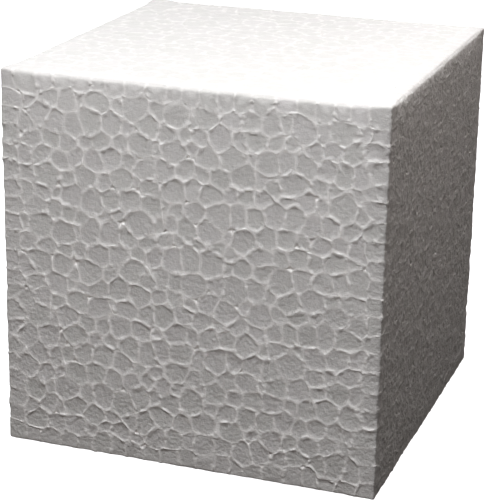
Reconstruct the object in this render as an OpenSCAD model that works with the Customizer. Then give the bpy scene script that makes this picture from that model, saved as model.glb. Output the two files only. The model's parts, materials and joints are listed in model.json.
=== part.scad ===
// Cube of expanded polystyrene bead foam for dry and silk flower work.
// Small beads, blown up with steam and fused where they press on one another,
// fill the whole cube. A hot wire has cut all six faces, so every bead at the
// surface is a sliced one and shows as a flat cell with straight sides.
// The cube stands on its base, centred on the origin, with +Z up and its front
// towards -Y. All lengths are in millimetres.

/* [Block] */
// Length of each side of the cube
block_size = 100; // [60:5:120]
// Depth of the outer layer of sliced beads
bead_depth = 2.2; // [1.6:0.1:2.4]

/* [Beads] */
// Beads along each side of the cube
beads_across = 21; // [12:1:21]
// How far bead centres stray from even spacing, as a share of the spacing
bead_scatter = 0.6; // [0.1:0.02:0.7]
// How far bead centres stray in depth, as a share of the spacing
depth_scatter = 0.58; // [0:0.02:0.6]
// How far every other row of beads is shifted, as a share of the spacing
row_shift = 0.5; // [0:0.05:0.5]
// Hairline left between the beads of one group
bead_gap = 0.06; // [0.04:0.01:0.12]
// Number of the bead pattern
pattern = 5; // [1:1:99]

/* [Colours] */
// Colour of the beads on the faces
face_colour = "WhiteSmoke"; // [WhiteSmoke, White, Gainsboro]
// Colour of the beads along the edges and corners
edge_colour = "White"; // [WhiteSmoke, White, Gainsboro]
// Colour of the inner beads
core_colour = "Gainsboro"; // [WhiteSmoke, White, Gainsboro]

/* [Hidden] */
// Spacing of bead centres, and of the outermost ones from an edge's two faces
pitch = block_size / beads_across;
rim = 0.4 * pitch;
last = beads_across - 1;
// Shortest side that a bead's outline keeps, and its least area
least_side = 0.2;
least_area = 0.6;

// A value from -0.5 to 0.5 that looks random and is fixed for each bead
function stray(ix, c) =
    let (v = sin(ix[0] * 127.1 + ix[1] * 311.7 + ix[2] * 74.7 + c * 269.5
        + pattern * 19.3) * 43758.5453)
    v - floor(v) - 0.5;

// True where an index is that of an outermost bead
function outer(n) = n == 0 || n == last;

// True where a bead lies on an edge or at a corner
function at_edge(ix) =
    (outer(ix[0]) ? 1 : 0) + (outer(ix[1]) ? 1 : 0) + (outer(ix[2]) ? 1 : 0) > 1;

// Place along axis c of the centre of the bead with index ix. The beads on an
// edge are more evenly spaced than the rest.
function along(ix, c) =
    ix[c] == 0 ? rim
    : ix[c] == last ? block_size - rim
    : pitch * (ix[c] + 0.5 + (at_edge(ix) ? 0.8 : 1) * bead_scatter * stray(ix, c));

// How far below the face across axis c that bead's centre lies
function below(ix, c) =
    at_edge(ix) ? rim : pitch * (0.5 + depth_scatter * stray(ix, c));

// Index of bead [a, b] on the low (0) or high (1) face across the axis
function index(axis, side, a, b) =
    let (k = side * last)
    axis == 0 ? [k, a, b] : axis == 1 ? [a, k, b] : [a, b, k];

// The bead's centre as a face sees it: two places in the face, then its depth.
// Away from the edges, each row nests between the beads of the rows beside it.
function centre(axis, side, a, b) =
    let (ix = index(axis, side, a, b),
        nested = outer(a) || outer(b) ? 0 : row_shift * pitch * (b % 2 - 0.5))
    [along(ix, axis == 0 ? 1 : 0) + nested, along(ix, axis == 2 ? 1 : 2),
        below(ix, axis)];

// The centres of all the beads of one face, as they were strewn in the mould
function strewn(axis, side) =
    [for (a = [0 : last]) [for (b = [0 : last]) centre(axis, side, a, b)]];

// The same beads after they have blown up and pushed one another aside: each
// one away from the edges moves to the middle of the room that it has
function eased(c) =
    [for (a = [0 : last]) [for (b = [0 : last])
        let (o = outer(a) || outer(b) ? [] : outline(c, a, b))
        len(o) < 3 ? c[a][b] : [each middle(o), c[a][b][2]]]];

function centres(axis, side) = eased(strewn(axis, side));

// What is left of an outline on the near side of the line n . q = c
function trim_off(outline, n, c) =
    let (m = len(outline))
    [for (i = [0 : 1 : m - 1])
        let (a = outline[i], b = outline[(i + 1) % m],
            da = n * a - c, db = n * b - c)
        each concat(da <= 0 ? [a] : [],
            (da < 0 && db > 0) || (da > 0 && db < 0)
                ? [a + (b - a) * (da / (da - db))] : [])];

// Two beads press flat against each other, so in the cut face the border of
// bead s with bead o is a straight line
function border(outline, s, o) =
    let (d = [o[0] - s[0], o[1] - s[1]], far = norm(d))
    trim_off(outline, d / far,
        (o * o - s * s) / (2 * far) - bead_gap / 2);

// The outline after its borders with all the neighbours in a list
function pressed(outline, s, near, i = 0) =
    i == len(near) || len(outline) < 3 ? outline
    : pressed(border(outline, s, near[i]), s, near, i + 1);

// An outline with its very short sides closed up
function tidied(outline) =
    let (m = len(outline))
    [for (i = [0 : 1 : m - 1])
        if (norm(outline[i] - outline[(i + 1) % m]) > least_side) outline[i]];

// Area of an outline
function area(outline) =
    let (m = len(outline))
    m < 3 ? 0 : abs([for (i = [0 : 1 : m - 1])
        let (a = outline[i], b = outline[(i + 1) % m])
        a[0] * b[1] - a[1] * b[0]] * [for (i = [0 : 1 : m - 1]) 0.5]);

// Middle of an outline
function middle(outline) =
    let (m = len(outline), one = [for (i = [0 : 1 : m - 1]) 1],
        parts = [for (i = [0 : 1 : m - 1])
            let (a = outline[i], b = outline[(i + 1) % m],
                k = a[0] * b[1] - a[1] * b[0])
            [k * (a[0] + b[0]), k * (a[1] + b[1]), 3 * k]],
        all = one * parts)
    [all[0] / all[2], all[1] / all[2]];

// Where a bead may reach: one at an edge goes right to the edge, any other
// stops where the layer of the next face starts
function least(n) = n == 0 ? 0 : bead_depth + bead_gap / 2;
function most(n) = n == last ? block_size : block_size - bead_depth - bead_gap / 2;

// Outline in its face of bead [a, b], from the centres c of that face
function outline(c, a, b) =
    let (s = c[a][b], r = 2 * pitch,
        x0 = max(least(a), s[0] - r), x1 = min(most(a), s[0] + r),
        y0 = max(least(b), s[1] - r), y1 = min(most(b), s[1] + r),
        near = [for (i = [max(0, a - 2) : min(last, a + 2)])
            for (j = [max(0, b - 2) : min(last, b + 2)])
                if (i != a || j != b) c[i][j]])
    tidied(pressed([[x0, y0], [x1, y0], [x1, y1], [x0, y1]], s, near));

// Lays what is drawn in a face's own plane into the low or high face
module in_face(axis, side) {
    shift = side * (block_size - bead_depth);
    if (axis == 2) translate([0, 0, shift]) children();
    if (axis == 1) translate([0, shift + bead_depth, 0]) rotate([90, 0, 0]) children();
    if (axis == 0) translate([shift, 0, 0]) rotate([90, 0, 90]) children();
}

// Centres the block on the origin
module centred() {
    translate([-block_size / 2, -block_size / 2, 0]) children();
}

// One face's share of a bead
module slice(c, a, b) {
    o = outline(c, a, b);
    if (area(o) > least_area) linear_extrude(bead_depth) polygon(o);
}

// All the beads that only one face cuts
module face_beads(axis, side) {
    c = centres(axis, side);
    color(face_colour) centred() in_face(axis, side)
        for (a = [1 : last - 1]) for (b = [1 : last - 1]) slice(c, a, b);
}

// Inner beads, fused into one mass
module core() {
    color(core_colour) translate([0, 0, block_size / 2])
        cube(block_size - 2 * bead_depth, center = true);
}

module front_face_beads() { face_beads(1, 0); }
module back_face_beads() { face_beads(1, 1); }
module left_face_beads() { face_beads(0, 0); }
module right_face_beads() { face_beads(0, 1); }
module top_face_beads() { face_beads(2, 1); }
module bottom_face_beads() { face_beads(2, 0); }

// Beads that lie on an edge, which two faces cut
module edge_beads() {
    x = [centres(0, 0), centres(0, 1)];
    y = [centres(1, 0), centres(1, 1)];
    z = [centres(2, 0), centres(2, 1)];
    color(edge_colour) centred()
        for (n = [1 : last - 1]) for (p = [0, 1]) for (q = [0, 1]) {
            // edges along X, on the faces across Y and Z
            union() {
                in_face(1, p) slice(y[p], n, q * last);
                in_face(2, q) slice(z[q], n, p * last);
            }
            // edges along Y, on the faces across X and Z
            union() {
                in_face(0, p) slice(x[p], n, q * last);
                in_face(2, q) slice(z[q], p * last, n);
            }
            // edges along Z, on the faces across X and Y
            union() {
                in_face(0, p) slice(x[p], q * last, n);
                in_face(1, q) slice(y[q], p * last, n);
            }
        }
}

// Beads at the corners, which three faces cut
module corner_beads() {
    x = [centres(0, 0), centres(0, 1)];
    y = [centres(1, 0), centres(1, 1)];
    z = [centres(2, 0), centres(2, 1)];
    color(edge_colour) centred()
        for (i = [0, 1]) for (j = [0, 1]) for (k = [0, 1])
            union() {
                in_face(0, i) slice(x[i], j * last, k * last);
                in_face(1, j) slice(y[j], i * last, k * last);
                in_face(2, k) slice(z[k], i * last, j * last);
            }
}

core();
front_face_beads();
back_face_beads();
left_face_beads();
right_face_beads();
top_face_beads();
bottom_face_beads();
edge_beads();
corner_beads();
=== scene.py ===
import json
import math

import bmesh
import bpy
import numpy as np
from mathutils import Matrix, Vector
from mathutils.geometry import delaunay_2d_cdt


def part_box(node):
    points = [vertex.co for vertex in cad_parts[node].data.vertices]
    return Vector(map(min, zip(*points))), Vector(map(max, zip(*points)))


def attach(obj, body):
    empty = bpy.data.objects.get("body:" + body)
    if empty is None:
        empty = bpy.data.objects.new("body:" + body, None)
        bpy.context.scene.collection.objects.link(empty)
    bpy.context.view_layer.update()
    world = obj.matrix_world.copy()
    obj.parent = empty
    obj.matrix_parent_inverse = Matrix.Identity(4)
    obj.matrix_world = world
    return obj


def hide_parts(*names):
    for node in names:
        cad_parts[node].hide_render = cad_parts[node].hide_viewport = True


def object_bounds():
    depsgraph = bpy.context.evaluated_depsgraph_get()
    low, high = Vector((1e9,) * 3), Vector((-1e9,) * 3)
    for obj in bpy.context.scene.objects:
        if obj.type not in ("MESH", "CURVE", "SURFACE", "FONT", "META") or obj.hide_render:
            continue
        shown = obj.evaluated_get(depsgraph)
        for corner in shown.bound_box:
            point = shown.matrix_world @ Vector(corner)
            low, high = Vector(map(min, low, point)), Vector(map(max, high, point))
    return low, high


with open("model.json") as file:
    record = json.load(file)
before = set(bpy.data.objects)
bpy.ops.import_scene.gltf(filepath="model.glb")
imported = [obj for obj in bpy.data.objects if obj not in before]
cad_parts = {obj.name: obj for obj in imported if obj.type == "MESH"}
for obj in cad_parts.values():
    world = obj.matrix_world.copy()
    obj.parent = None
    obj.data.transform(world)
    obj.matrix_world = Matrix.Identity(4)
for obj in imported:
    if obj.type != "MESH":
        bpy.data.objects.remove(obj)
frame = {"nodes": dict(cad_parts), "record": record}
cad_lo, cad_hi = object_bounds()
record = frame["record"]

# ---------------------------------------------------------------- the frame
# The cube is worked on in millimetres about its own centre.
HALF = np.array([cad_hi[i] - cad_lo[i] for i in range(3)]) * 500.0
MID = np.array([(cad_hi[i] + cad_lo[i]) / 2 for i in range(3)]) * 1000.0
H = float(HALF[0])
DEPTH = float(H - (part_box("core")[1][0] * 1000.0 - MID[0]))

# How the hot wire left the foam, in mm
RIM_W = 0.33  # half width of the ridge where two beads meet
RIM_H = 0.050  # how far the ridge stands over the bead beside it
DISH_H = 0.075  # how much deeper the middle of a bead lies
DISH_W = 1.0
BLEND = 0.42  # how far the ridge widens where three beads meet
EDGE_R = 0.50  # rounding of the cube's edges
GROW = 0.05  # closes the hairline that CAD leaves between beads
STEP = 0.54  # spacing of points along a bead's border
RINGS = (0.0, 0.09, 0.18, 0.30, 0.48, 0.80, 1.35)

FACES = {
    "front_face_beads": (1, -1),
    "back_face_beads": (1, 1),
    "left_face_beads": (0, -1),
    "right_face_beads": (0, 1),
    "top_face_beads": (2, 1),
    "bottom_face_beads": (2, -1),
}


# ---------------------------------------------------------------- noise
def _hash(ix, iy, iz, seed):
    h = (
        ix.astype(np.uint32) * np.uint32(0x8DA6B343)
        ^ iy.astype(np.uint32) * np.uint32(0xD8163841)
        ^ iz.astype(np.uint32) * np.uint32(0xCB1AB31F)
        ^ np.uint32((seed * 0x9E3779B1) & 0xFFFFFFFF)
    )
    h ^= h >> np.uint32(15)
    h *= np.uint32(0x2C1B3C6D)
    h ^= h >> np.uint32(12)
    h *= np.uint32(0x297A2D39)
    h ^= h >> np.uint32(15)
    return h.astype(np.float64) / 4294967295.0 * 2.0 - 1.0


def noise(p, size, seed):
    """Smooth noise from -1 to 1 whose lumps are about size mm across."""
    q = p / size + 1000.0
    i = np.floor(q).astype(np.int64)
    f = q - i
    f = f * f * f * (f * (f * 6 - 15) + 10)
    out = 0.0
    for dx in (0, 1):
        for dy in (0, 1):
            for dz in (0, 1):
                w = (
                    (f[:, 0] if dx else 1 - f[:, 0])
                    * (f[:, 1] if dy else 1 - f[:, 1])
                    * (f[:, 2] if dz else 1 - f[:, 2])
                )
                out = out + w * _hash(i[:, 0] + dx, i[:, 1] + dy, i[:, 2] + dz, seed)
    return out


def smooth(x, lo, hi):
    t = np.clip((x - lo) / (hi - lo), 0.0, 1.0)
    return t * t * (3 - 2 * t)


# ---------------------------------------------------------------- outlines
def islands(obj):
    """The separate solids of a CAD node, each as an array of its points in mm about the cube's centre."""
    me = obj.data
    co = np.empty(len(me.vertices) * 3)
    me.vertices.foreach_get("co", co)
    co = co.reshape(-1, 3) * 1000.0 - MID
    key = np.round(co, 4)
    uniq, inv = np.unique(key, axis=0, return_inverse=True)
    inv = inv.ravel()
    parent = list(range(len(uniq)))

    def root(a):
        while parent[a] != a:
            parent[a] = parent[parent[a]]
            a = parent[a]
        return a

    for poly in me.polygons:
        ids = [inv[v] for v in poly.vertices]
        r0 = root(ids[0])
        for v in ids[1:]:
            parent[root(v)] = r0
    groups = {}
    for v in range(len(uniq)):
        groups.setdefault(root(v), []).append(v)
    made = [uniq[g] for g in groups.values()]
    made.sort(key=lambda g: tuple(np.round(g.mean(0), 3)))
    return made


def convex(points):
    """The convex outline of 2D points, counter-clockwise, without points that lie along a side."""
    pts = sorted(set((round(float(x), 4), round(float(y), 4)) for x, y in points))

    def half(seq):
        out = []
        for p in seq:
            while len(out) >= 2:
                a, b = out[-2], out[-1]
                cr = (b[0] - a[0]) * (p[1] - a[1]) - (b[1] - a[1]) * (p[0] - a[0])
                if cr <= 0.004 * math.dist(a, p):
                    out.pop()
                else:
                    break
            out.append(p)
        return out

    lower, upper = half(pts), half(reversed(pts))
    return np.array(lower[:-1] + upper[:-1])


def centroid(poly):
    x, y = poly[:, 0], poly[:, 1]
    x2, y2 = np.roll(x, -1), np.roll(y, -1)
    cr = x * y2 - x2 * y
    a = cr.sum() / 2
    return np.array([((x + x2) * cr).sum(), ((y + y2) * cr).sum()]) / (6 * a)


def sides(poly):
    """Inward normals n and offsets c of a counter-clockwise outline, so that n . p - c is the distance inside."""
    e = np.roll(poly, -1, 0) - poly
    n = np.stack([-e[:, 1], e[:, 0]], 1)
    n /= np.linalg.norm(n, axis=1)[:, None]
    return n, (n * poly).sum(1)


def walk(poly, step, skip=None):
    """Points along the outline, its corners among them."""
    out = []
    for j in range(len(poly)):
        a, b = poly[j], poly[(j + 1) % len(poly)]
        k = max(1, int(round(math.dist(a, b) / step)))
        out += [a + (b - a) * (i / k) for i in range(k)]
    return np.array(out)


def inside(q, n, off):
    """Distance of points from the sides of an outline, eased so that it falls off early in a corner."""
    each = q @ n.T - off
    near = each.min(1)
    return np.maximum(
        near - BLEND * np.log(np.exp(-(each - near[:, None]) / BLEND).sum(1)), 0
    )


def nearest_corner(q, poly):
    return np.sqrt(((q[:, None, :] - poly[None, :, :]) ** 2).sum(2)).min(1)


# ---------------------------------------------------------------- one bead's patch
def ring_patch(poly):
    """Rings of points from a bead's border to its middle: 2D points, faces, distance from the border, distance from a
    corner.
    """
    c = centroid(poly)
    n, off = sides(poly)
    far = float((n @ c - off).mean())
    poly = c + (poly - c) * (1 + GROW / far)
    n, off = sides(poly)
    far = float((n @ c - off).mean())
    scale = min(1.0, far / 2.05)
    b = walk(poly, STEP if far > 1.2 else STEP * 0.75)
    m = len(b)
    pts = [b + (c - b) * (t * scale / far) for t in RINGS] + [c[None]]
    q = np.concatenate(pts)
    d = inside(q, n, off)
    faces = []
    for r in range(len(RINGS) - 1):
        for i in range(m):
            j = (i + 1) % m
            faces.append((r * m + i, r * m + j, (r + 1) * m + j, (r + 1) * m + i))
    last, mid = (len(RINGS) - 1) * m, len(RINGS) * m
    faces += [(last + i, last + (i + 1) % m, mid) for i in range(m)]
    return q, faces, d, nearest_corner(q, poly)


def cdt_patch(poly, c, extra, lines, n, off):
    """A triangulated patch of an outline with rings near its border and extra points inside."""
    far = float((n @ c - off).mean())
    scale = min(1.0, far / 2.05)
    b = walk(poly, STEP)
    m = len(b)
    inner = [b + (c - b) * (t * scale / far) for t in RINGS[1:]]
    inner = np.concatenate(inner)
    d_in = (inner @ n.T - off).min(1)
    inner = inner[d_in > 0.05]
    if len(extra):
        d_ex = (extra @ n.T - off).min(1)
        extra = extra[d_ex > 0.07]
        gap = np.sqrt(((inner[:, None] - extra[None]) ** 2).sum(2)).min(1)
        inner = inner[gap > 0.16]
    pts = np.concatenate([b, extra, inner]) if len(extra) else np.concatenate([b, inner])
    edges = [(i, (i + 1) % m) for i in range(m)]
    vs, _, fs, *_ = delaunay_2d_cdt(
        [Vector((float(x), float(y))) for x, y in pts], edges, [], 1, 1e-5
    )
    q = np.array([[v.x, v.y] for v in vs])
    faces = [tuple(f) for f in fs]
    used = sorted({v for f in faces for v in f})
    at = {v: i for i, v in enumerate(used)}
    q = q[used]
    faces = [tuple(at[v] for v in f) for f in faces]
    return q, faces


def border_loop(faces):
    """The border of an open patch as one loop of point numbers, in the direction its faces run."""
    edges = {}
    for f in faces:
        for i in range(len(f)):
            edges[(f[i], f[(i + 1) % len(f)])] = True
    nxt = {a: b for a, b in edges if (b, a) not in edges}
    start = min(nxt)
    loop, v = [start], nxt[start]
    while v != start:
        loop.append(v)
        v = nxt[v]
        if len(loop) > len(nxt):
            raise RuntimeError("a bead's border isn't one loop")
    if len(loop) != len(nxt):
        raise RuntimeError("a bead's border has a hole")
    return loop


class Beads:
    """Collects the beads of one piece, then shapes all their points together."""

    def __init__(self, name):
        self.name = name
        self.p, self.face, self.d, self.corner, self.bead, self.mid, self.kind = (
            [] for _ in range(7)
        )
        self.faces, self.outer, self.count, self.n = [], [], 0, 0

    def add(self, p, face, faces, d, corner, mid3, outer=False):
        """p: points on the sharp cube, face: the axis of each point's face, outer: beside another piece. Closes the patch behind with a skirt and a back."""
        started = len(self.faces)
        nrm = np.zeros(3)
        want = np.zeros(3)
        for f in faces[:: max(1, len(faces) // 12)]:
            a, b, c = p[f[0]], p[f[1]], p[f[2]]
            nrm = np.cross(b - a, c - a)
            k = np.argmax(np.abs((a + b + c) / 3))
            want = np.zeros(3)
            want[k] = np.sign((a + b + c)[k])
            if abs(nrm @ want) > 1e-9:
                break
        if nrm @ want < 0:
            faces = [tuple(reversed(f)) for f in faces]
        loop = border_loop(faces)
        m, base, k = len(loop), self.count, len(p)
        back_mid = mid3[None]
        allp = np.concatenate([p, p[loop], back_mid])
        self.p.append(allp)
        self.face.append(np.concatenate([face, face[loop], face[:1]]))
        self.d.append(np.concatenate([d, d[loop], [0.0]]))
        self.corner.append(np.concatenate([corner, corner[loop], [9.0]]))
        self.bead.append(np.full(len(allp), self.n))
        self.mid.append(np.repeat(mid3[None], len(allp), 0))
        kind = np.zeros(len(allp), int)
        kind[k:] = 1
        self.kind.append(kind)
        for f in faces:
            self.faces.append(tuple(v + base for v in f))
        for i in range(m):
            j = (i + 1) % m
            self.faces.append(
                (base + loop[j], base + loop[i], base + k + i, base + k + j)
            )
            self.faces.append((base + k + j, base + k + i, base + k + m))
        self.outer += [outer] * (len(self.faces) - started)
        self.count += len(allp)
        self.n += 1

    def build(self):
        p = np.concatenate(self.p)
        face = np.concatenate(self.face)
        d = np.concatenate(self.d)
        corner = np.concatenate(self.corner)
        bead = np.concatenate(self.bead)
        mid = np.concatenate(self.mid)
        back = np.concatenate(self.kind) == 1

        # each bead's own character, from where its middle lies
        per = [noise(mid * 7.31 + 50, 1.0, 900 + k) for k in range(6)]

        # borders between beads bend a little; the bend dies out across an edge
        warp = np.stack(
            [
                0.42 * noise(p, 4.6, 10 + k) + 0.16 * noise(p, 1.7, 20 + k)
                for k in range(3)
            ],
            1,
        )
        # beside an edge the borders slant more, along the edge only
        gap = H - np.sort(np.abs(p), axis=1)[:, 1]
        slant = np.stack([noise(p, 5.2, 25 + k) for k in range(3)], 1)
        warp += slant * (0.62 * (1.0 - smooth(gap, 2.0, 6.5)))[:, None]
        warp *= 1.0 - smooth(np.abs(p), H - 4.2, H - 0.1)
        # the beads along an edge reach in unevenly far
        t = H - np.abs(p)
        reach = np.stack([noise(p, 5.4, 28), noise(p, 5.4, 29), noise(p, 5.4, 30)], 1)
        warp += 1.5 * reach * smooth(t, 0.2, 4.4) * (1.0 - smooth(t, 4.4, 11.0))
        warp[np.arange(len(p)), face] = 0.0
        s = p + warp

        # the wire left the sides of the cube rougher, with lower ridges
        way = np.abs(s) ** 40
        way /= way.sum(1)[:, None]
        rough = way[:, 0]
        # the ridge's strength changes from border to border
        strong = np.clip(
            0.95 + 0.85 * noise(p, 3.1, 31) + 0.5 * noise(p, 1.2, 32), 0.2, 2.0
        )
        whiten = np.clip(0.90 + 0.5 * noise(p, 2.2, 34) + 0.3 * (strong - 0.95), 0.12, 1)
        strong *= 1.0 - 0.82 * rough
        # and it ran cooler towards the base, which left more relief there
        down = 0.5 - p[:, 2] / (2 * H)
        level = way[:, 2]
        grain = (0.62 + 1.15 * down) * (1 - level - rough) + 0.24 * level + 1.3 * rough
        strong *= (0.46 + 0.95 * down) * (1 - level) + 0.38 * level
        whiten *= (1.0 - 0.6 * rough) * (1.0 - 0.72 * level)
        broad = RIM_W * (1.0 + 0.3 * noise(p, 2.3, 33)) * (1.35 - 0.45 * down)
        rim = 1.0 - np.exp(-((d / broad) ** 2))
        away = 1.0 - np.exp(-((d / 0.42) ** 2))
        depth = RIM_H * strong * rim
        depth += (
            DISH_H * (1.0 + 0.8 * per[0]) * (1.0 - np.exp(-d / DISH_W))
            * (1 - 0.6 * rough - 0.4 * level)
        )
        depth += 0.055 * per[1] * away
        # each bead's floor leans its own way
        lean = np.stack([per[2], per[3], per[4]], 1) * 0.040
        depth += ((p - mid) * lean).sum(1) * away
        # the crest rises and falls, with nubs and pits where three beads meet
        depth += 0.028 * noise(p, 1.3, 41) + 0.014 * noise(p, 0.55, 42)
        knot = np.exp(-((corner / 0.32) ** 2))
        spot = noise(p, 1.9, 51)
        depth += 0.62 * knot * smooth(spot, 0.46, 0.72)
        nub = knot * smooth(-spot, 0.05, 0.4)
        # a few crumbs of melted foam lie along the ridges
        crumb = rim < 0.75
        crumb = crumb * smooth(noise(p, 1.0, 52), 0.32, 0.52)
        nub = np.maximum(nub, 0.8 * crumb) * (1 - 0.6 * rough)
        depth -= 0.19 * nub * (1 - 0.6 * level)
        # fine unevenness of the cut skin
        depth += (0.4 + 0.6 * away) * grain * (
            0.020 * (1 + 4.0 * rough) * noise(p, 1.15, 61)
            + 0.026 * (1 + 2.4 * rough) * noise(p, 2.6, 63)
        )
        # the wire sagged where it came out, so the sides roll off at the top
        t = H - p[:, 2]
        between = 1.0 - smooth(np.abs(p[:, :2]).min(1), H - 9.0, H - 1.0)
        depth += 0.42 * np.exp(-t / 4.5) * (1 - level - rough) * between
        depth += 0.52 * np.exp(-t / 2.2) * rough * between
        # the wire's slow waver over the whole face
        depth += 0.085 * noise(p, 17.0, 71) + 0.035 * noise(p, 8.0, 72)
        # the cube's edges are crumbled a little
        two = np.sort(np.abs(s), axis=1)
        near_edge = (0.72 - 0.22 * rough) * np.exp(-(((H - two[:, 1]) / 0.8) ** 2))
        near_edge *= 1.0 - 0.75 * smooth(p[:, 2], H - 3.5, H - 1.0)
        near_edge *= 1.0 - 0.82 * smooth(-p[:, 2], H - 3.5, H - 1.0)
        depth += near_edge * (
            0.10 + 0.18 * noise(p, 2.8, 81) + 0.11 * noise(p, 1.1, 82)
        )

        r = EDGE_R * (1.0 + 0.4 * noise(p, 3.4, 83) + 0.2 * noise(p, 1.5, 84))
        # the top edges are rounded off more than the rest
        r = r + 1.1 * smooth(p[:, 2], H - 9.0, H - 1.5) * between
        c = np.clip(s, -(H - r)[:, None], (H - r)[:, None])
        out = s - c
        out /= np.maximum(np.linalg.norm(out, axis=1), 1e-9)[:, None]
        top = c + (r - depth)[:, None] * out
        r2 = 3.2
        c2 = np.clip(s, -(H - r2), H - r2)
        out2 = s - c2
        out2 /= np.maximum(np.linalg.norm(out2, axis=1), 1e-9)[:, None]
        under = c2 + (r2 - DEPTH + 0.02) * out2
        co = np.where(back[:, None], under, top)
        co = (co + MID) / 1000.0

        me = bpy.data.meshes.new(self.name)
        sizes = np.array([len(f) for f in self.faces])
        flat = np.fromiter((v for f in self.faces for v in f), int, sizes.sum())
        me.vertices.add(len(co))
        me.vertices.foreach_set("co", co.astype(np.float32).ravel())
        me.loops.add(len(flat))
        me.loops.foreach_set("vertex_index", flat)
        me.polygons.add(len(sizes))
        me.polygons.foreach_set("loop_start", np.cumsum(sizes) - sizes)
        me.polygons.foreach_set("loop_total", sizes)
        me.update(calc_edges=True)
        me.validate()
        me.polygons.foreach_set("use_smooth", np.ones(len(me.polygons), bool))
        me.polygons.foreach_set("material_index", np.array(self.outer, np.int32))
        me.set_sharp_from_angle(angle=math.radians(55))

        ridge = np.maximum(np.exp(-((d / 0.32) ** 2)) * whiten, nub)
        # the colour attribute holds each bead's tone, the ridge's whiteness, and the grain, which sets both the bumps
        # and the painted shade of the open cells
        col = np.stack(
            [
                0.5 + 0.5 * per[5],
                ridge,
                (0.30 + 0.15 * rough) * grain,
                np.ones(len(p)),
            ],
            1,
        )
        at = me.color_attributes.new("bead", "FLOAT_COLOR", "POINT")
        at.data.foreach_set("color", np.clip(col, 0, 1).astype(np.float32).ravel())
        ob = bpy.data.objects.new(self.name, me)
        bpy.context.scene.collection.objects.link(ob)
        return ob


def on_face(q, axis, sign):
    """2D face points as points on the sharp cube."""
    p = np.zeros((len(q), 3))
    others = [k for k in range(3) if k != axis]
    p[:, others[0]] = q[:, 0]
    p[:, others[1]] = q[:, 1]
    p[:, axis] = sign * H
    return p


def face_piece(node, axis, sign):
    got = Beads(node.replace("_beads", "_cut_beads"))
    others = [k for k in range(3) if k != axis]
    for pts in islands(frame["nodes"][node]):
        outer = pts[np.abs(pts[:, axis] * sign - H) < 0.01]
        poly = convex(outer[:, others])
        q, faces, d, corner = ring_patch(poly)
        p = on_face(q, axis, sign)
        mid3 = on_face(centroid(poly)[None], axis, sign)[0]
        outer = np.abs(poly).max() > H - 7.0
        got.add(p, np.full(len(p), axis), faces, d, corner, mid3, outer)
    return got.build()


def edge_piece(node, name, where):
    """where: 1 for the edges round the top, -1 round the base, 0 for the upright ones."""
    got = Beads(name)
    for pts in islands(frame["nodes"][node]):
        high, low = pts[:, 2].max() > H - 0.01, pts[:, 2].min() < 0.01 - H
        if (1 if high else -1 if low else 0) != where:
            continue
        on = [
            (a, s)
            for a in range(3)
            for s in (-1, 1)
            if (np.abs(pts[:, a] * s - H) < 0.01).sum() >= 3
        ]
        (a, sa), (b, sb) = on[:2]
        e = 3 - a - b
        pa = pts[np.abs(pts[:, a] * sa - H) < 0.01]
        pb = pts[np.abs(pts[:, b] * sb - H) < 0.01]
        # unfolded flat: along the edge, then across it, A to one side and B to the other
        flat = np.concatenate(
            [
                np.stack([pa[:, e], H - sb * pa[:, b]], 1),
                np.stack([pb[:, e], -(H - sa * pb[:, a])], 1),
            ]
        )
        poly = convex(flat)
        c = np.array([centroid(poly)[0], 0.0])
        n, off = sides(poly)
        far = float((n @ c - off).mean())
        poly = c + (poly - c) * (1 + GROW / far)
        n, off = sides(poly)
        u0, u1 = poly[:, 0].min(), poly[:, 0].max()
        rows = []
        for v in (-1.05, -0.65, -0.36, -0.14, 0.0, 0.14, 0.36, 0.65, 1.05):
            us = np.arange(math.floor(u0 / 0.34), math.ceil(u1 / 0.34) + 1) * 0.34
            rows.append(np.stack([us, np.full(len(us), v)], 1))
        q, faces = cdt_patch(poly, c, np.concatenate(rows), [], n, off)
        d = inside(q, n, off)
        p = np.zeros((len(q), 3))
        p[:, e] = q[:, 0]
        up = q[:, 1] >= 0
        p[:, a] = np.where(up, sa * H, sa * (H + q[:, 1]))
        p[:, b] = np.where(up, sb * (H - q[:, 1]), sb * H)
        face = np.where(up, a, b)
        mid3 = np.zeros(3)
        mid3[e], mid3[a], mid3[b] = c[0], sa * H, sb * H
        got.add(p, face, faces, d, nearest_corner(q, poly), mid3)
    return got.build()


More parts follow.
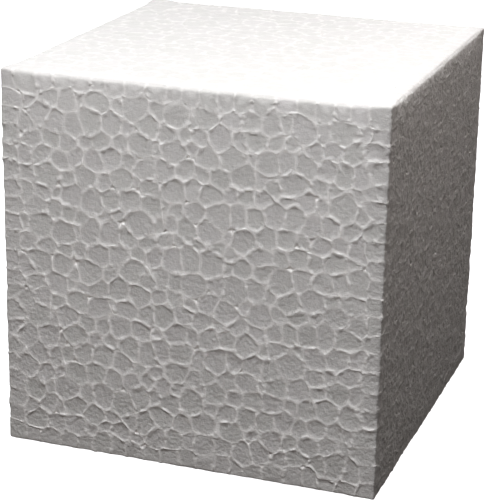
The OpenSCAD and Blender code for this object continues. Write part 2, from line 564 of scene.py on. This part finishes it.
def corner_piece(node, name):
    got = Beads(name)
    for pts in islands(frame["nodes"][node]):
        s = np.sign(pts[np.argmin(((np.abs(pts) - H) ** 2).sum(1))])
        # how far the bead runs along each of the cube's three edges, from the corner
        reach = []
        for e in range(3):
            a, b = [k for k in range(3) if k != e]
            on = pts[
                (np.abs(pts[:, a] * s[a] - H) < 0.01)
                & (np.abs(pts[:, b] * s[b] - H) < 0.01)
            ]
            reach.append(float((H - s[e] * on[:, e]).max()))
        along = []
        for length in reach:
            end = length + GROW
            near = [end - t for t in RINGS[:5]]
            g = [x for x in (0, 0.14, 0.36, 0.65) if x < near[-1] - 0.15]
            g += [x for x in np.arange(1.0, 9.0, 0.36) if x < near[-1] - 0.15]
            along.append(sorted(g + near))
        allp, allf, alld, allc, face = [], [], [], [], []
        count = 0
        for a in range(3):
            b, c = [k for k in range(3) if k != a]
            on = pts[np.abs(pts[:, a] * s[a] - H) < 0.01]
            # measured from the cube's corner
            poly = convex(np.stack([H - s[b] * on[:, b], H - s[c] * on[:, c]], 1))
            far = float(poly.max())
            poly = poly * (1 + GROW / far)
            for v in poly:
                if v[1] < 1e-3 and v[0] > 1e-3:
                    v[0] = along[b][-1]
                if v[0] < 1e-3 and v[1] > 1e-3:
                    v[1] = along[c][-1]
            n, off = sides(poly)
            real = [
                j
                for j in range(len(poly))
                if not (
                    max(poly[j][0], poly[(j + 1) % len(poly)][0]) < 1e-3
                    or max(poly[j][1], poly[(j + 1) % len(poly)][1]) < 1e-3
                )
            ]
            rim = []
            for j in real:
                p0, p1 = poly[j], poly[(j + 1) % len(poly)]
                k = max(1, int(round(math.dist(p0, p1) / 0.4)))
                for t in RINGS[:5]:
                    for i in range(k + 1):
                        x = p0 + (p1 - p0) * (i / k) + n[j] * t
                        if (n[real] @ x - off[real]).min() > t - 1e-6:
                            rim.append(x)
            rim = np.array(rim)
            rim = rim[(rim[:, 0] > 0.05) & (rim[:, 1] > 0.05)]
            edge = np.array(
                [[x, 0.0] for x in along[b]] + [[0.0, y] for y in along[c][1:]]
            )
            g = np.concatenate([[0.14, 0.36, 0.65], np.arange(1.0, 9.0, 0.36)])
            gx, gy = np.meshgrid(g, g)
            grid = np.stack([gx.ravel(), gy.ravel()], 1)
            grid = grid[(grid @ n[real].T - off[real]).min(1) > 0.1]
            gap = np.sqrt(((grid[:, None] - rim[None]) ** 2).sum(2)).min(1)
            grid = grid[gap > 0.18]
            outer = poly[(poly[:, 0] > 1e-3) & (poly[:, 1] > 1e-3)]
            both = np.concatenate([edge, outer, rim, grid])
            both = np.unique(np.round(both, 4), axis=0)
            vs, _, fs, *_ = delaunay_2d_cdt(
                [Vector((float(x), float(y))) for x, y in both], [], [], 0, 1e-6
            )
            q = np.array([[v.x, v.y] for v in vs])
            p = np.zeros((len(q), 3))
            p[:, a] = s[a] * H
            p[:, b] = s[b] * (H - q[:, 0])
            p[:, c] = s[c] * (H - q[:, 1])
            fl = [tuple(f) for f in fs]
            f0 = fl[0]
            nn = np.cross(p[f0[1]] - p[f0[0]], p[f0[2]] - p[f0[0]])
            if nn[a] * s[a] < 0:
                fl = [tuple(reversed(f)) for f in fl]
            allp.append(p)
            allf += [tuple(v + count for v in f) for f in fl]
            alld.append(inside(q, n[real], off[real]))
            allc.append(nearest_corner(q, outer))
            face.append(np.full(len(p), a))
            count += len(p)
        p = np.concatenate(allp)
        key = np.round(p, 3)
        _, first, inv = np.unique(key, axis=0, return_index=True, return_inverse=True)
        inv = inv.ravel()
        faces = []
        for f in allf:
            g = tuple(int(inv[v]) for v in f)
            if len(set(g)) == 3:
                faces.append(g)
        got.add(
            p[first],
            np.concatenate(face)[first],
            faces,
            np.concatenate(alld)[first],
            np.concatenate(allc)[first],
            s * H,
        )
    return got.build()


# ---------------------------------------------------------------- materials
def socket(node, *names):
    for n in names:
        if n in node.inputs:
            return node.inputs[n]
    raise KeyError(names)


def foam(name, tone, warm, glow, reach):
    """Cut bead foam: white, slightly see-through, with a fine cell grain. glow: share of light that goes through, reach: how far, in metres."""
    m = bpy.data.materials.new(name)
    m.use_nodes = True
    nt = m.node_tree
    nt.nodes.clear()
    add, link = nt.nodes.new, nt.links.new
    out = add("ShaderNodeOutputMaterial")
    sh = add("ShaderNodeBsdfPrincipled")
    link(sh.outputs["BSDF"], out.inputs["Surface"])
    sh.inputs["IOR"].default_value = 1.45
    sh.inputs["Specular IOR Level"].default_value = 0.32
    sh.subsurface_method = "BURLEY"
    sh.inputs["Subsurface Weight"].default_value = glow
    sh.inputs["Subsurface Radius"].default_value = (1.0, 0.96, 0.92)
    sh.inputs["Subsurface Scale"].default_value = reach

    geo = add("ShaderNodeTexCoord")
    bead = add("ShaderNodeAttribute")
    bead.attribute_name = "bead"
    sep = add("ShaderNodeSeparateColor")
    link(bead.outputs["Color"], sep.inputs["Color"])

    def tex(scale, detail=2.0, rough=0.5):
        t = add("ShaderNodeTexNoise")
        t.inputs["Scale"].default_value = scale
        t.inputs["Detail"].default_value = detail
        t.inputs["Roughness"].default_value = rough
        link(geo.outputs["Object"], t.inputs["Vector"])
        return t

    def maths(op, a, b=None, c=None):
        n = add("ShaderNodeMath")
        n.operation = op
        for i, v in enumerate((a, b, c)):
            if v is None:
                continue
            if isinstance(v, (int, float)):
                n.inputs[i].default_value = v
            else:
                link(v, n.inputs[i])
        return n.outputs[0]

    def ranged(value, lo, hi, to_lo, to_hi):
        n = add("ShaderNodeMapRange")
        n.inputs["From Min"].default_value = lo
        n.inputs["From Max"].default_value = hi
        n.inputs["To Min"].default_value = to_lo
        n.inputs["To Max"].default_value = to_hi
        link(value, n.inputs["Value"])
        return n.outputs["Result"]

    # tone: from bead to bead, cloudy inside a bead, and whiter where beads fused
    ramp = add("ShaderNodeValToRGB")
    stops = ramp.color_ramp.elements
    while len(stops) < len(warm):
        stops.new(0.5)
    for i, shade in enumerate(warm):
        stops[i].position = i / (len(warm) - 1)
        stops[i].color = (*[x * tone for x in shade], 1)
    link(sep.outputs["Red"], ramp.inputs["Fac"])
    cloud_and_painted_cell_shade = ranged(tex(700.0, 4.0, 0.6).outputs["Fac"], 0.3, 0.7, 0.94, 1.0)
    # painted shade: cell walls catch the light and open cells lie in shade, so fine specks darken the colour of the cut
    # to stand for that shade
    open_cell_painted_shade = ranged(tex(2300.0, 3.0, 0.7).outputs["Fac"], 0.32, 0.68, 0.86, 1.0)
    open_cell_painted_shade = maths("MULTIPLY", maths("SUBTRACT", 1.0, open_cell_painted_shade), sep.outputs["Blue"])
    cloud_and_painted_cell_shade = maths("MULTIPLY", cloud_and_painted_cell_shade, maths("MULTIPLY_ADD", open_cell_painted_shade, -3.2, 1.0))
    mul = add("ShaderNodeMix")
    mul.data_type = "RGBA"
    mul.blend_type = "MULTIPLY"
    mul.inputs["Factor"].default_value = 1.0
    link(ramp.outputs["Color"], mul.inputs["A"])
    link(cloud_and_painted_cell_shade, mul.inputs["B"])
    white = add("ShaderNodeMix")
    white.data_type = "RGBA"
    white.inputs["B"].default_value = (0.97, 0.965, 0.955, 1)
    link(sep.outputs["Green"], white.inputs["Factor"])
    link(mul.outputs["Result"], white.inputs["A"])
    link(white.outputs["Result"], sh.inputs["Base Color"])

    # cell grain: tiny bubbles cut open, over a softer unevenness
    amount = maths("MULTIPLY", sep.outputs["Blue"], 1.0)
    soft = maths("MULTIPLY", tex(1000.0, 2.5, 0.5).outputs["Fac"], amount)
    b1 = add("ShaderNodeBump")
    b1.inputs["Strength"].default_value = 1.0
    b1.inputs["Distance"].default_value = 0.0006
    link(soft, b1.inputs["Height"])
    cells = add("ShaderNodeTexVoronoi")
    cells.inputs["Scale"].default_value = 4800.0
    link(geo.outputs["Object"], cells.inputs["Vector"])
    b2 = add("ShaderNodeBump")
    b2.inputs["Strength"].default_value = 0.6
    b2.inputs["Distance"].default_value = 0.00007
    link(cells.outputs["Distance"], b2.inputs["Height"])
    link(b1.outputs["Normal"], b2.inputs["Normal"])
    link(b2.outputs["Normal"], sh.inputs["Normal"])

    # fused and melted skin shines a little more than the cut cells
    gloss = ranged(tex(900.0).outputs["Fac"], 0.35, 0.7, 0.48, 0.72)
    link(maths("MULTIPLY_ADD", sep.outputs["Green"], -0.12, gloss), sh.inputs["Roughness"])
    return m


SHADES = (
    (0.795, 0.80, 0.78),
    (0.84, 0.832, 0.83),
    (0.81, 0.812, 0.797),
    (0.86, 0.848, 0.85),
)
cut = foam("cut_foam", 1.0, SHADES, 0.35, 0.0012)
# light doesn't pass from one piece into the next, so beads at a joint stay solid
firm = foam("cut_foam_at_joint", 1.0, SHADES, 0.0, 0.0012)
# painted light: the beads along the top edges get a slightly paler colour, standing for light that glows through the
# top edge
top_edge_painted_glow = foam("cut_foam_top_edge_painted_glow", 1.01, SHADES, 0.0, 0.0012)
inner = foam("inner_foam", 0.97, SHADES, 0.35, 0.0012)

# ---------------------------------------------------------------- pieces
made = []
for node, (axis, sign) in FACES.items():
    ob = face_piece(node, axis, sign)
    made.append((ob, node))
for name, where in (("top", 1), ("upright", 0), ("base", -1)):
    made.append((edge_piece("edge_beads", name + "_edge_cut_beads", where), "edge_beads"))
made.append((corner_piece("corner_beads", "corner_cut_beads"), "corner_beads"))
for ob, node in made:
    if node in FACES:
        ob.data.materials.append(cut)
    ob.data.materials.append(top_edge_painted_glow if ob.name.startswith("top_edge") else firm)
    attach(ob, "root")
    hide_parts(node)

core = frame["nodes"]["core"]
core.data.materials.clear()
core.data.materials.append(inner)

# ---------------------------------------------------------------- camera
AZ, EL, ROLL = math.radians(19.2987), math.radians(18.7645), math.radians(1.0913)
DIST, FOCAL = 0.4843, 3.6366
look = Vector(
    (-math.sin(AZ) * math.cos(EL), math.cos(AZ) * math.cos(EL), -math.sin(EL))
)
right = look.cross(Vector((0, 0, 1))).normalized()
up = right.cross(look)
cr, sr = math.cos(ROLL), math.sin(ROLL)
right, up = right * cr + up * sr, right * -sr + up * cr
base = Vector(((cad_lo[0] + cad_hi[0]) / 2, (cad_lo[1] + cad_hi[1]) / 2, cad_lo[2]))
aim = base + Vector((-0.0030, 0.0, 0.0428))
cam = bpy.data.objects.new("camera", bpy.data.cameras.new("camera"))
cam.data.sensor_fit = "HORIZONTAL"
cam.data.sensor_width = 36.0
cam.data.lens = 36.0 * FOCAL
cam.data.clip_start = 0.01
cam.matrix_world = Matrix.Translation(aim - look * DIST) @ Matrix(
    (right, up, -look)
).transposed().to_4x4()
bpy.context.scene.collection.objects.link(cam)
bpy.context.scene.camera = cam

# ---------------------------------------------------------------- floor and light
fm = bmesh.new()
R = 2.0
z0 = float(cad_lo[2]) - 0.0001
grid = 24
rows = [
    [
        fm.verts.new(((-1 + 2 * i / grid) * R, (-1 + 2 * j / grid) * R, z0))
        for i in range(grid + 1)
    ]
    for j in range(grid + 1)
]
for j in range(grid):
    for i in range(grid):
        fm.faces.new((rows[j][i], rows[j][i + 1], rows[j + 1][i + 1], rows[j + 1][i]))
fme = bpy.data.meshes.new("floor")
fm.to_mesh(fme)
fm.free()
floor = bpy.data.objects.new("floor", fme)
bpy.context.scene.collection.objects.link(floor)
pale = bpy.data.materials.new("pale_floor")
pale.use_nodes = True
pb = pale.node_tree.nodes["Principled BSDF"]
pb.inputs["Base Color"].default_value = (0.93, 0.93, 0.93, 1)
pb.inputs["Roughness"].default_value = 0.9
pb.inputs["Specular IOR Level"].default_value = 0.1
pb.inputs["Emission Color"].default_value = (1, 1, 1, 1)
pb.inputs["Emission Strength"].default_value = 1.0
fme.materials.append(pale)
floor.visible_diffuse = False
floor.visible_glossy = False

# a pale backdrop all round, which only the camera sees
dm = bmesh.new()
bmesh.ops.create_uvsphere(dm, u_segments=48, v_segments=24, radius=3.0)
bmesh.ops.reverse_faces(dm, faces=dm.faces)
dme = bpy.data.meshes.new("backdrop")
dm.to_mesh(dme)
dm.free()
drop = bpy.data.objects.new("backdrop", dme)
bpy.context.scene.collection.objects.link(drop)
haze = bpy.data.materials.new("pale_backdrop")
haze.use_nodes = True
hb = haze.node_tree.nodes["Principled BSDF"]
hb.inputs["Base Color"].default_value = (0, 0, 0, 1)
hb.inputs["Specular IOR Level"].default_value = 0.0
hb.inputs["Emission Color"].default_value = (1, 1, 1, 1)
hb.inputs["Emission Strength"].default_value = 1.0
dme.materials.append(haze)
drop.visible_diffuse = False
drop.visible_glossy = False
drop.visible_transmission = False
drop.visible_shadow = False

world = bpy.data.worlds.new("studio")
world.use_nodes = True
bg = world.node_tree.nodes["Background"]
bg.inputs["Color"].default_value = (1.0, 0.965, 0.93, 1)
bg.inputs["Strength"].default_value = 0.125
bpy.context.scene.world = world


def area(name, where, at, size, watts, colour=(1, 1, 1)):
    data = bpy.data.lights.new(name, "AREA")
    data.shape = "DISK"
    data.size = size
    data.energy = watts
    data.color = colour
    ob = bpy.data.objects.new(name, data)
    ob.location = where
    ob.rotation_euler = (Vector(at) - Vector(where)).to_track_quat("-Z", "Y").to_euler()
    ob.visible_camera = False
    bpy.context.scene.collection.objects.link(ob)
    return ob


mid = Vector([(cad_lo[i] + cad_hi[i]) / 2 for i in range(3)])
KEY_W, BACK_W, SIDE_W, SKY = 1.93, 0.75, 0.35, 0.025
tilt, side, reach = math.radians(26.5), math.radians(0), 0.47
key_dir = Vector((math.tan(side), -math.tan(tilt), 1.0)).normalized()
WARM, COOL = (1.0, 0.885, 0.825), (0.96, 0.98, 1.0)
area("key_softbox", mid + key_dir * reach, mid, 0.24, KEY_W, (0.985, 0.992, 1.0))
area("front_fill", mid + Vector((-0.16, -0.62, 0.16)), mid, 0.40, 0.47, (1.0, 0.84, 0.78))
area("right_fill", mid + Vector((0.20, 0.0, 0.30)), mid, 0.14, SIDE_W, WARM)
area("left_fill", mid + Vector((-0.42, 0.12, 0.15)), mid, 0.24, BACK_W, COOL)
area("back_fill", mid + Vector((0.05, 0.52, 0.17)), mid, 0.28, BACK_W, COOL)
bg.inputs["Strength"].default_value = SKY

scene = bpy.context.scene
scene.view_settings.view_transform = "Standard"
scene.view_settings.look = "None"
scene.view_settings.exposure = 0.0
scene.view_settings.gamma = 1.0
